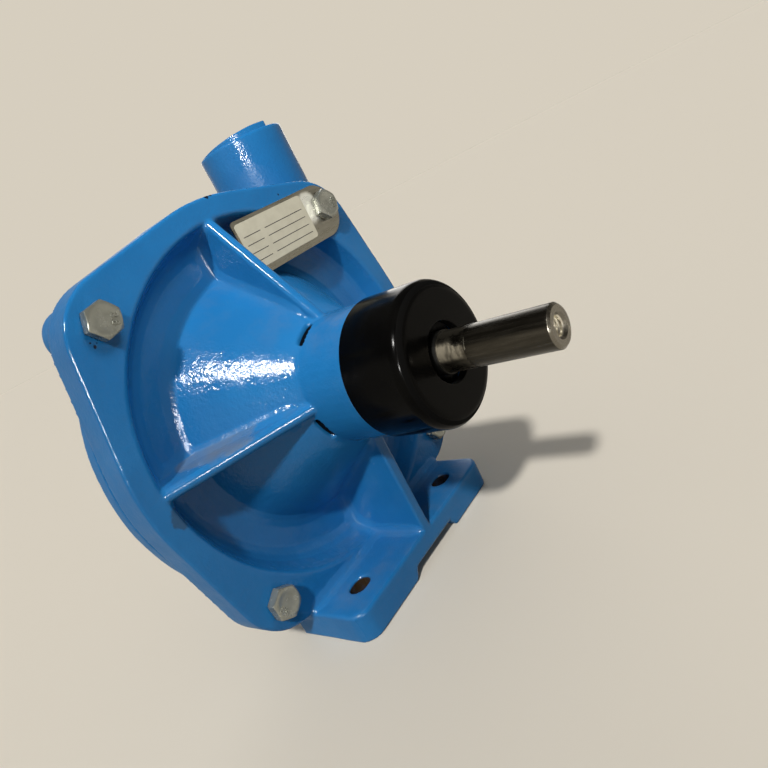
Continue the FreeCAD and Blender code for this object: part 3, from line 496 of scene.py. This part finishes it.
def press_onto(skin, surface):
    """Lays what stands out little from the CAD surface back onto it, so that edges are crisp and
    fillets stay."""
    tree = BVHTree.FromPolygons([v.co[:] for v in surface.vertices],
                                [tuple(f.vertices) for f in surface.polygons])
    places, stands = nearest_on(tree, skin.points)
    crisp = 1 - ramp(stands, 0.00018, 0.00050)[:, None]
    for _ in range(2):
        skin.move((places - skin.points) * crisp)
        skin.move(skin.pull() * 0.6 * crisp)
        places, _ = nearest_on(tree, skin.points)
    skin.move((places - skin.points) * crisp)


def ridges(skin, normals):
    """1 on outer edges and 0 on faces, spread over the points beside the edges."""
    ridge = ramp(-np.einsum("ij,ij->i", skin.pull(), normals), 0.00003, 0.00010)
    for _ in range(2):
        ridge = np.maximum(ridge, np.minimum(skin.beside(ridge) * 1.6, 1.0))
    return ridge


def field(points, size, seed):
    """A smooth random value from -1 to 1 at each point, with features about size across."""
    table = np.random.default_rng(seed).uniform(-1, 1, 8192)
    cell = np.floor(points / size).astype(np.int64)
    part = points / size - cell
    part = part * part * (3 - 2 * part)
    value = np.zeros(len(points))
    for corner in range(8):
        step = np.array([corner & 1, corner >> 1 & 1, corner >> 2 & 1])
        at = cell + step
        key = (at[:, 0] * 73856093 ^ at[:, 1] * 19349663 ^ at[:, 2] * 83492791) % 8192
        weight = np.prod(np.where(step, part, 1 - part), axis=1)
        value += weight * table[key]
    return value


def cast_skin(node_name, name, voxel, fillet_passes, spare, trim=None):
    """A copy of a cast node with filled corners and a slightly uneven surface.
    spare gives, for points in shaft-axis millimetres, 0 where the surface is machined."""
    source = frame["nodes"][node_name]
    skin = Skin(remeshed(source, name, voxel))
    free = spare(unplace(skin.points))
    # The remesh's steps are eased, a little on machined faces too
    for _ in range(2):
        skin.move(skin.pull() * 0.5 * (0.25 + 0.75 * free[:, None]))
    risen = fill_corners(skin, free, fillet_passes)
    for _ in range(2):
        skin.move(skin.pull() * 0.4 * free[:, None])
    press_onto(skin, source.data)
    normals = skin.normals()
    ridge = ridges(skin, normals)
    uneven = 0.00009 * field(skin.points, 0.011, 1) + 0.000025 * field(skin.points, 0.0032, 2)
    skin.move(normals * (uneven * free)[:, None])
    if trim:
        skin.points = trim(skin.points)
    skin.write()
    skin.keep("hollow", np.clip(risen / 0.0015, 0, 1))
    skin.keep("ridge", ridge)
    skin.mesh.shade_smooth()
    skin.mesh.materials.clear()
    skin.mesh.materials.append(LOOKS[NODE_SLOTS[node_name]])
    made = linked(name, skin.mesh)
    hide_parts(node_name)
    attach(made, source["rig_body"])
    return made


# Where the castings are machined or hold something: each gives 0 there and 1 elsewhere, in
# shaft-axis millimetres

def off_bolts(x, z):
    return ramp(np.hypot(np.abs(x) - BOLT_OFFSET, np.abs(z) - BOLT_OFFSET), 6.0, 8.0)


def outside_joint(radius):
    """The two castings meet within this radius."""
    return ramp(radius, 84.0, 85.0)


def bracket_spare(points):
    x, y, z = points.T
    radius = np.hypot(x, z)
    bore = ramp(radius, 21.6, 23.0)
    joint = np.maximum(1 - ramp(y, 12.5, 14.0), outside_joint(radius))
    foot_slots = np.maximum(ramp(np.hypot(np.abs(x) - FOOT_SLOT_X, y - FOOT_SLOT_Y), 7.5, 9.5),
                            1 - ramp(-z, 80.0, 81.0))
    weep_slots = np.maximum(np.abs(y - WEEP_SLOT_Y) > 3.4, radius > 37.0)
    return bore * joint * foot_slots * off_bolts(x, z) * weep_slots


def casing_spare(points):
    x, y, z = points.T
    radius = np.hypot(x, z)
    joint = np.maximum(ramp(y, 15.2, 16.5), outside_joint(radius))
    suction = np.maximum(ramp(radius, 20.5, 22.0), y < 62.0)
    discharge = ramp(np.hypot(x - DISCHARGE_X, y - DISCHARGE_Y), 16.0, 17.5)
    return joint * off_bolts(x, z) * suction * discharge


def level_discharge_rim(points):
    """The rough lip on the discharge rim is levelled, because a finer one stands there."""
    p = unplace(points)
    on_rim = np.hypot(p[:, 0] - DISCHARGE_X, p[:, 1] - DISCHARGE_Y) < 25.0
    p[on_rim, 2] = np.minimum(p[on_rim, 2], DISCHARGE_RIM)
    return place(p)


VOXEL = 0.0009
bracket = cast_skin("bearing_bracket", "bracket_skin", VOXEL, 32, bracket_spare)
cast_skin("volute_casing", "casing_skin", VOXEL * 1.1, 34, casing_spare,
          level_discharge_rim)


# Mesh pieces

def piece(name, slot, body, verts, faces, look=None, sharp=30.0):
    """A mesh piece in shaft-axis millimetres, smooth up to the sharp angle, that rides on a body."""
    mesh = bpy.data.meshes.new(name)
    mesh.from_pydata([tuple(v) for v in place(verts)], [], faces)
    mesh.validate()
    mesh.shade_smooth()
    mesh.set_sharp_from_angle(angle=math.radians(sharp))
    mesh.materials.append(look or LOOKS[slot])
    made = linked(name, mesh)
    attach(made, body)
    return made


def rings_to_mesh(rings, cap_start=False, cap_end=False, closed_long=False):
    """Faces between neighbouring rings of points."""
    verts = np.concatenate(rings)
    count = len(rings[0])
    faces = []
    for i in range(len(rings) if closed_long else len(rings) - 1):
        a, b = i * count, (i + 1) % len(rings) * count
        for j in range(count):
            k = (j + 1) % count
            faces.append((a + j, a + k, b + k, b + j))
    if cap_start:
        faces.append(tuple(reversed(range(count))))
    if cap_end:
        faces.append(tuple(range((len(rings) - 1) * count, len(rings) * count)))
    return verts, faces


def turned(profile, angle, x=0.0, z=0.0):
    """Rings for a profile of (radius, y) turned about a line along y, with a point at each angle."""
    return [np.stack([x + r * np.cos(angle), np.full(len(angle), y), z + r * np.sin(angle)], axis=1)
            for r, y in profile]


def merged(parts):
    """Several (verts, faces) as one."""
    verts, faces, start = [], [], 0
    for v, f in parts:
        verts.append(v)
        faces += [tuple(start + i for i in face) for face in f]
        start += len(v)
    return np.concatenate(verts), faces


def lettering(text, size, height):
    """The points and faces of raised figures on the x-y plane, standing up along z, in millimetres."""
    curve = bpy.data.curves.new("figures", "FONT")
    curve.body = text
    curve.size = size
    curve.align_x = "CENTER"
    curve.align_y = "CENTER"
    curve.extrude = height
    curve.bevel_depth = 0.07
    curve.bevel_resolution = 2
    curve.resolution_u = 4
    mesh = mesh_of(linked("figures", curve))
    return np.array([v.co[:] for v in mesh.vertices]), [tuple(f.vertices) for f in mesh.polygons]


# Casing bolts

HEAD_WIDTH, HEAD_HEIGHT, HEAD_CORNER, HEAD_FACE = 13.0, 5.3, 7.42, 6.175
WASHER_FACE = 6.0
CHAMFER = math.tan(math.radians(30.0))
DISH = 0.16
FIGURES, FIGURE_SIZE, FIGURE_HEIGHT, FIGURE_REACH = "8.8", 3.9, 0.24, 3.5
SHANK_RADIUS, SHANK_LENGTH, SMOOTH_LENGTH = 4.0, 25.0, 6.0
THREAD_PITCH, THREAD_CREST, THREAD_ROOT = 1.25, 3.95, 3.38
# Each bolt's side in x and z, the y of its seat, its turn and where its figures stand, in degrees
BOLTS = ((1, 1, -0.8, 20.0, -10.0), (1, -1, 0.0, 5.0, 150.0),
         (-1, -1, 0.0, 31.0, 200.0), (-1, 1, 0.0, 10.0, -20.0))


def bolt_head(x, z, seat, turn, figures_at):
    """A hexagon head with a washer face, turned-off corners, a slight dish and raised figures."""
    steps = np.radians(np.linspace(-30, 30, 17)[:-1])
    angle = np.concatenate([steps + math.radians(turn + 30 + 60 * side) for side in range(6)])
    reach = np.minimum(np.tile(HEAD_WIDTH / 2 / np.cos(steps), 6), HEAD_CORNER)

    def ring(radius, height):
        return np.stack([x + radius * np.cos(angle), seat - np.broadcast_to(height, angle.shape),
                         z + radius * np.sin(angle)], axis=1)

    top = HEAD_HEIGHT
    cone = top - (reach - HEAD_FACE) * CHAMFER
    rings = [ring(0.02, top - DISH - 0.06), ring(2.0, top - DISH - 0.04), ring(4.2, top - DISH),
             ring(4.9, top - 0.02), ring(5.5, top), ring(6.0, top),
             ring(np.minimum(HEAD_FACE + 0.05, reach - 0.12), top - 0.06),
             ring(reach - 0.22, np.minimum(cone + 0.22 * CHAMFER, top - 0.08)),
             ring(reach - 0.04, cone - 0.02), ring(reach, cone - 0.2), ring(reach, 2.4), ring(reach, 0.75),
             ring(reach - 0.1, 0.55),
             ring(WASHER_FACE + 0.1, 0.42), ring(WASHER_FACE, 0.3), ring(WASHER_FACE, 0.0),
             ring(SHANK_RADIUS, 0.0)]
    verts, faces = lettering(FIGURES, FIGURE_SIZE, FIGURE_HEIGHT)
    spin = math.radians(figures_at)
    outward = np.array([math.cos(spin), math.sin(spin)])
    along = np.array([math.sin(spin), -math.cos(spin)])
    flat = verts[:, :1] * along + (verts[:, 1:2] + FIGURE_REACH) * outward
    raised = np.stack([x + flat[:, 0], seat - (top - DISH) - verts[:, 2], z + flat[:, 1]], axis=1)
    return merged([rings_to_mesh(rings, cap_start=True), (raised, faces)])


def bolt_shank(x, z, seat):
    """The shank with a rolled thread near its end."""
    end = seat + SHANK_LENGTH
    y = seat + SMOOTH_LENGTH
    profile = [(SHANK_RADIUS, seat), (SHANK_RADIUS, y)]
    while y < end - 1.6:
        profile += [(THREAD_CREST, y), (THREAD_CREST, y + 0.12), (THREAD_ROOT, y + 0.57),
                    (THREAD_ROOT, y + 0.68), (THREAD_CREST, y + 1.13)]
        y += THREAD_PITCH
    profile += [(THREAD_CREST - 0.05, end - 0.9), (3.2, end), (0.02, end)]
    return rings_to_mesh(turned(profile, np.radians(np.arange(0, 360, 10)), x, z), cap_end=True)


parts = []
for side_x, side_z, seat, turn, figures_at in BOLTS:
    x, z = side_x * BOLT_OFFSET, side_z * BOLT_OFFSET
    parts += [bolt_head(x, z, seat, turn, figures_at), bolt_shank(x, z, seat)]
bolts = piece("casing_bolts_detailed", "zinc_plate", "housing", *merged(parts), sharp=28.0)
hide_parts("casing_bolts")


# Nameplate panel with ruled lines

PLATE_FRONT, PANEL_FRONT, RULE_FRONT = -0.79, -0.84, -0.86
RULE_ROWS, RULE_BOTTOM, RULE_STEP, RULE_WIDTH = 4, 57.6, 3.9, 0.35
# From left to right in x, a short rule and a long one
RULE_SPANS = ((11.5, 22.5), (25.5, 52.5))


def rounded_rectangle(left, right, bottom, top, corner, count=8):
    centres = ((right - corner, top - corner, 0), (left + corner, top - corner, 90),
               (left + corner, bottom + corner, 180), (right - corner, bottom + corner, 270))
    return [(cx + corner * math.cos(math.radians(start + 90 * i / count)),
             cz + corner * math.sin(math.radians(start + 90 * i / count)))
            for cx, cz, start in centres for i in range(count + 1)]


def flat_sheet(outline, back, front):
    """A thin sheet whose outline is in x and z, from y = back to y = front."""
    rings = [np.array([(x, y, z) for x, z in outline]) for y in (back, front)]
    return rings_to_mesh(rings, cap_start=True, cap_end=True)


piece("nameplate_panel", "plate_metal", "housing",
      *flat_sheet(rounded_rectangle(9.3, 55.2, 54.6, 76.0, 1.8), PLATE_FRONT, PANEL_FRONT),
      look=LOOKS["panel_cream"])
lines = []
for row in range(RULE_ROWS):
    z = RULE_BOTTOM + RULE_STEP * row
    for left, right in RULE_SPANS:
        outline = rounded_rectangle(left, right, z, z + RULE_WIDTH, 0.1, 2)
        lines.append(flat_sheet(outline, PANEL_FRONT, RULE_FRONT))
piece("nameplate_rules", "plate_metal", "housing", *merged(lines), look=LOOKS["rule_ink"])


# Threads, ridges standing in from the bores

PIPE_PITCH, PIPE_DEPTH = 2.209, 1.25
# A ridge's section: how far out from the bore in depths, and how far along in pitches
RIDGE = ((0.15, -0.44), (-0.75, -0.10), (-1.0, 0.0), (-0.75, 0.10), (0.15, 0.44))


def thread(centre, axis, start, length, radius, pitch, depth):
    """A helical ridge of triangular section inside a bore, running out at both ends."""
    count = int(length / pitch * 48)
    share = np.linspace(0, 1, count + 1)
    angle = 2 * math.pi * length / pitch * share
    fade = np.clip(np.minimum(share, 1 - share) * count / 30, 0.02, 1)
    rings = []
    for a, f, along in zip(angle, fade, start + length * share):
        ring = []
        for out, up in RIDGE:
            r, t = radius + out * depth * f, along + up * pitch * (0.4 + 0.6 * f)
            ring.append((r * math.cos(a), t, r * math.sin(a)) if axis == "y" else
                        (r * math.cos(a), r * math.sin(a), t))
        rings.append(np.array(ring) + centre)
    return rings_to_mesh(rings, cap_start=True, cap_end=True)


piece("discharge_thread", "blue_enamel", "housing",
      *thread((DISCHARGE_X, DISCHARGE_Y, 0), "z", 98.0, 14.3, 14.7, PIPE_PITCH, PIPE_DEPTH), sharp=50.0,
      look=LOOKS["bare_iron"])
piece("suction_thread", "blue_enamel", "housing",
      *thread((0, 0, 0), "y", 66.0, 16.6, 19.05, PIPE_PITCH, PIPE_DEPTH), sharp=50.0, look=LOOKS["bare_iron"])
piece("shaft_end_thread", "shaft_steel", "rotor",
      *thread((0, 0, 0), "y", -128.2, 15.0, 3.4, 1.058, 0.45), sharp=50.0)


# The shaft's end, with rounded edges on its chamfer and on the mouth of its tapped hole

def softened(corners, cut):
    """A profile whose inner corners are rounded over a length cut on each side."""
    corners = [np.array(c) for c in corners]
    path = [corners[0]]
    for before, corner, after in zip(corners, corners[1:], corners[2:]):
        start = corner + (before - corner) / np.linalg.norm(before - corner) * cut
        end = corner + (after - corner) / np.linalg.norm(after - corner) * cut
        for t in np.linspace(0, 1, 7):
            path.append(start * (1 - t) ** 2 + 2 * corner * t * (1 - t) + end * t ** 2)
    return path + [corners[-1]]


# Profiles of (radius, y), each closed by a point behind the end face
edge = softened([(7.95, -127.6), (7.95, -128.8), (6.95, SHAFT_END_Y), (6.0, SHAFT_END_Y)], 0.45)
mouth = softened([(5.6, SHAFT_END_Y), (4.7, SHAFT_END_Y), (3.45, -128.5), (3.45, -127.9)], 0.35)
rings_at = np.radians(np.arange(0, 360, 4))
piece("shaft_end_edges", "shaft_steel", "rotor",
      *merged([rings_to_mesh(turned(profile, rings_at), closed_long=True)
               for profile in (edge + [(6.0, -129.0)], mouth + [(5.6, -129.0)])]), sharp=40.0)


# The lip on the discharge port's rim

LIP_RADIUS, LIP_HALF_WIDTH, LIP_FOOT, LIP_ROUNDING = 21.1, 0.9, 112.2, 0.7
# From where to where it runs, in degrees about the port, and how long its rounded nose is
LIP_FROM, LIP_TO, LIP_NOSE = 150.0, 274.0, 1.1
# The lip's top slopes over the rim's radius like a slanting cut, up to a largest height
RIM_RADIUS, LIP_SLOPE, LIP_HEIGHT = 22.0, math.tan(math.radians(5.0)), 2.8


def discharge_lip():
    """A low wall that rises out of the rim and ends in a rounded nose."""
    quarter = np.linspace(0, math.pi / 2, 5)
    rings = []
    for angle in np.radians(np.linspace(LIP_FROM, LIP_TO, 61)):
        to_go = math.radians(LIP_TO) - angle
        rise = RIM_RADIUS * LIP_SLOPE * (math.cos(to_go) - math.cos(math.radians(LIP_TO - LIP_FROM)))
        high = max(min(rise, LIP_HEIGHT), 0.02)
        squeeze = math.sqrt(max(1 - max(1 - to_go * RIM_RADIUS / LIP_NOSE, 0) ** 2, 0.04))
        top = DISCHARGE_RIM + high - 0.35 * (1 - squeeze)
        half = LIP_HALF_WIDTH * squeeze
        corner = min(LIP_ROUNDING, half, high)
        inner = [(-half, LIP_FOOT)]
        inner += [(corner * (1 - math.cos(t)) - half, top - corner * (1 - math.sin(t))) for t in quarter]
        section = inner + [(-across, height) for across, height in reversed(inner)]
        rings.append(np.array([(DISCHARGE_X + (LIP_RADIUS + across) * math.cos(angle),
                                DISCHARGE_Y + (LIP_RADIUS + across) * math.sin(angle), height)
                               for across, height in section]))
    return rings_to_mesh(rings, cap_start=True, cap_end=True)


piece("discharge_lip", "blue_enamel", "housing", *discharge_lip(), sharp=60.0)


# Floor, light and camera

FLOOR = (0.81, 0.75, 0.645)
# How much of its colour the floor throws back on the pump
FLOOR_BOUNCE = 0.45
# The key lamp's and the backlight's direction, strength and width in degrees
KEY_DIRECTION, KEY, KEY_WIDTH = Vector((-0.60, -0.37, 0.71)).normalized(), 2.3, 4.0
BACK_DIRECTION, BACK_POWER, BACK_WIDTH = Vector((0.68, 0.66, 0.33)).normalized(), 0.7, 36.0
# The near lamp's place, what it points at, its power and its width in metres
NEAR_PLACE, NEAR_AIM = Vector((-0.015, -0.125, 0.305)), Vector((0.01, 0.02, 0.12))
NEAR_POWER, NEAR_WIDTH = 0.25, 0.10
# Lamps that only show in what they glint on, with direction, strength, width in degrees, and whether
# they reach the bracket alone
GLINTS = {"key_glint": (Vector((-0.61, -0.30, 0.73)), 2.4, 9.0, False),
          "low_glint": (Vector((-0.765, -0.624, 0.19)), 1.9, 5.0, False),
          "crest_glint": (Vector((-0.515, -0.850, 0.10)), 2.4, 14.0, True)}
# The fill light's mean, and how far it rises and falls along a direction
FILL, FILL_SWING = 0.17, 0.14
FILL_RISE = Vector((-0.62, 0.25, 0.74)).normalized()
LAMP_COLOUR = (1.0, 0.985, 0.955)
# The world behind the floor is as bright as the floor is under these lights
FROM_LAMPS = (KEY * KEY_DIRECTION.z + BACK_POWER * BACK_DIRECTION.z) / math.pi
FROM_FILL = FILL + FILL_SWING * FILL_RISE.z * 2 / 3
BACKGROUND = tuple(c * (FROM_LAMPS * tint + FROM_FILL) for c, tint in zip(FLOOR, LAMP_COLOUR))
# Reflections see the room's bright side this way, and above them only this share of the background
BRIGHT_SIDE = (-0.75, 0.66, 0.0)
CEILING = 0.16


def seen_by(graph):
    """1 for what the camera, a reflection or glass sees, and 0 for the light that surfaces receive."""
    path = graph.add("ShaderNodeLightPath").outputs
    return graph.most(path["Is Camera Ray"], path["Is Glossy Ray"], path["Is Transmission Ray"])


def lit_floor():
    """A plain floor, darker for the light that it throws on the pump."""
    made, g = material("studio_floor")
    colour = g.mix(seen_by(g), tuple(c * FLOOR_BOUNCE for c in FLOOR), FLOOR)
    finish_with(g, Base_Color=colour, Roughness=0.9, Specular_IOR_Level=0.0)
    bpy.ops.mesh.primitive_circle_add(vertices=96, radius=6.0, fill_type="NGON", location=(0, 0, 0))
    ground = bpy.context.object
    ground.name = "studio_floor"
    ground.data.materials.append(made)
    return ground


def light_world():
    """The pale background for the camera, that with a brighter side and a dark ceiling for reflections,
    and the fill light."""
    world = bpy.data.worlds.new("studio")
    world.use_nodes = True
    bpy.context.scene.world = world
    g = Graph(world.node_tree)
    way = g.add("ShaderNodeTexCoord").outputs["Generated"]
    bright = g.span(g.vectors("DOT_PRODUCT", way, BRIGHT_SIDE)["Value"], -0.6, 0.7, 0.45, 1.15)
    mirrored = g.mix(bright, (0, 0, 0), BACKGROUND)
    mirrored = g.mix(g.span(g.split(way)[2], 0.30, 0.50), mirrored, tuple(c * CEILING for c in BACKGROUND))
    sky = g.mix(g.add("ShaderNodeLightPath").outputs["Is Glossy Ray"], BACKGROUND, mirrored)
    rise = g.times(g.plus(g.vectors("DOT_PRODUCT", way, FILL_RISE)["Value"], 1.0), 0.5)
    fill = g.mix(rise, (FILL - FILL_SWING,) * 3, (FILL + FILL_SWING,) * 3)
    shade = g.add("ShaderNodeBackground", {0: g.mix(seen_by(g), fill, sky), 1: 1.0})
    g.add("ShaderNodeOutputWorld", {0: shade.outputs[0]})


def lamp(name, kind, power, direction):
    made = linked(name, bpy.data.lights.new(name, kind))
    made.data.energy = power
    made.data.color = LAMP_COLOUR
    made.rotation_euler = direction.to_track_quat("Z", "Y").to_euler()
    return made


def sun(name, power, direction, width):
    made = lamp(name, "SUN", power, direction)
    made.data.angle = math.radians(width)
    return made


floor = lit_floor()
light_world()

sun("key", KEY, KEY_DIRECTION, KEY_WIDTH)
sun("backlight", BACK_POWER, BACK_DIRECTION, BACK_WIDTH)
for glint_name, (direction, strength, width, bracket_only) in GLINTS.items():
    glint = sun(glint_name, strength, direction, width)
    glint.visible_diffuse = False
    if bracket_only:
        reached = bpy.data.collections.new("lit_by_" + glint_name)
        reached.objects.link(bracket)
        glint.light_linking.receiver_collection = reached

softbox = lamp("softbox", "AREA", NEAR_POWER, NEAR_PLACE - NEAR_AIM)
softbox.location = NEAR_PLACE
softbox.data.shape = "DISK"
softbox.data.size = NEAR_WIDTH
softbox.visible_camera = False
softbox.visible_glossy = False
# The near lamp leaves the floor alone, so that the floor stays even
left_dark = bpy.data.collections.new("not_lit_by_softbox")
left_dark.objects.link(floor)
left_dark.collection_objects[0].light_linking.link_state = "EXCLUDE"
softbox.light_linking.receiver_collection = left_dark

# The camera's place in the part's metres and its three directions, solved from the bolts, the guard
# and the shaft, with its focal length in pixels of a square picture that many pixels wide
CAMERA_PLACE = Vector((-0.17811, -0.20725, 0.16331))
RIGHT = Vector((0.52584, -0.72636, -0.44259))
UP = Vector((0.50378, -0.15330, 0.85012))
BACK = Vector((-0.68535, -0.67000, 0.28531))
FOCAL_PIXELS, PICTURE_PIXELS = 630.39, 768.0
SENSOR = 36.0

camera = linked("camera", bpy.data.cameras.new("camera"))
camera.matrix_world = Matrix.Translation(CAMERA_PLACE) @ Matrix((RIGHT, UP, BACK)).transposed().to_4x4()
camera.data.sensor_width = SENSOR
camera.data.lens = FOCAL_PIXELS * SENSOR / PICTURE_PIXELS
camera.data.clip_start = 0.01
camera.data.clip_end = 100.0
bpy.context.scene.camera = camera
bpy.context.scene.view_settings.view_transform = "Standard"
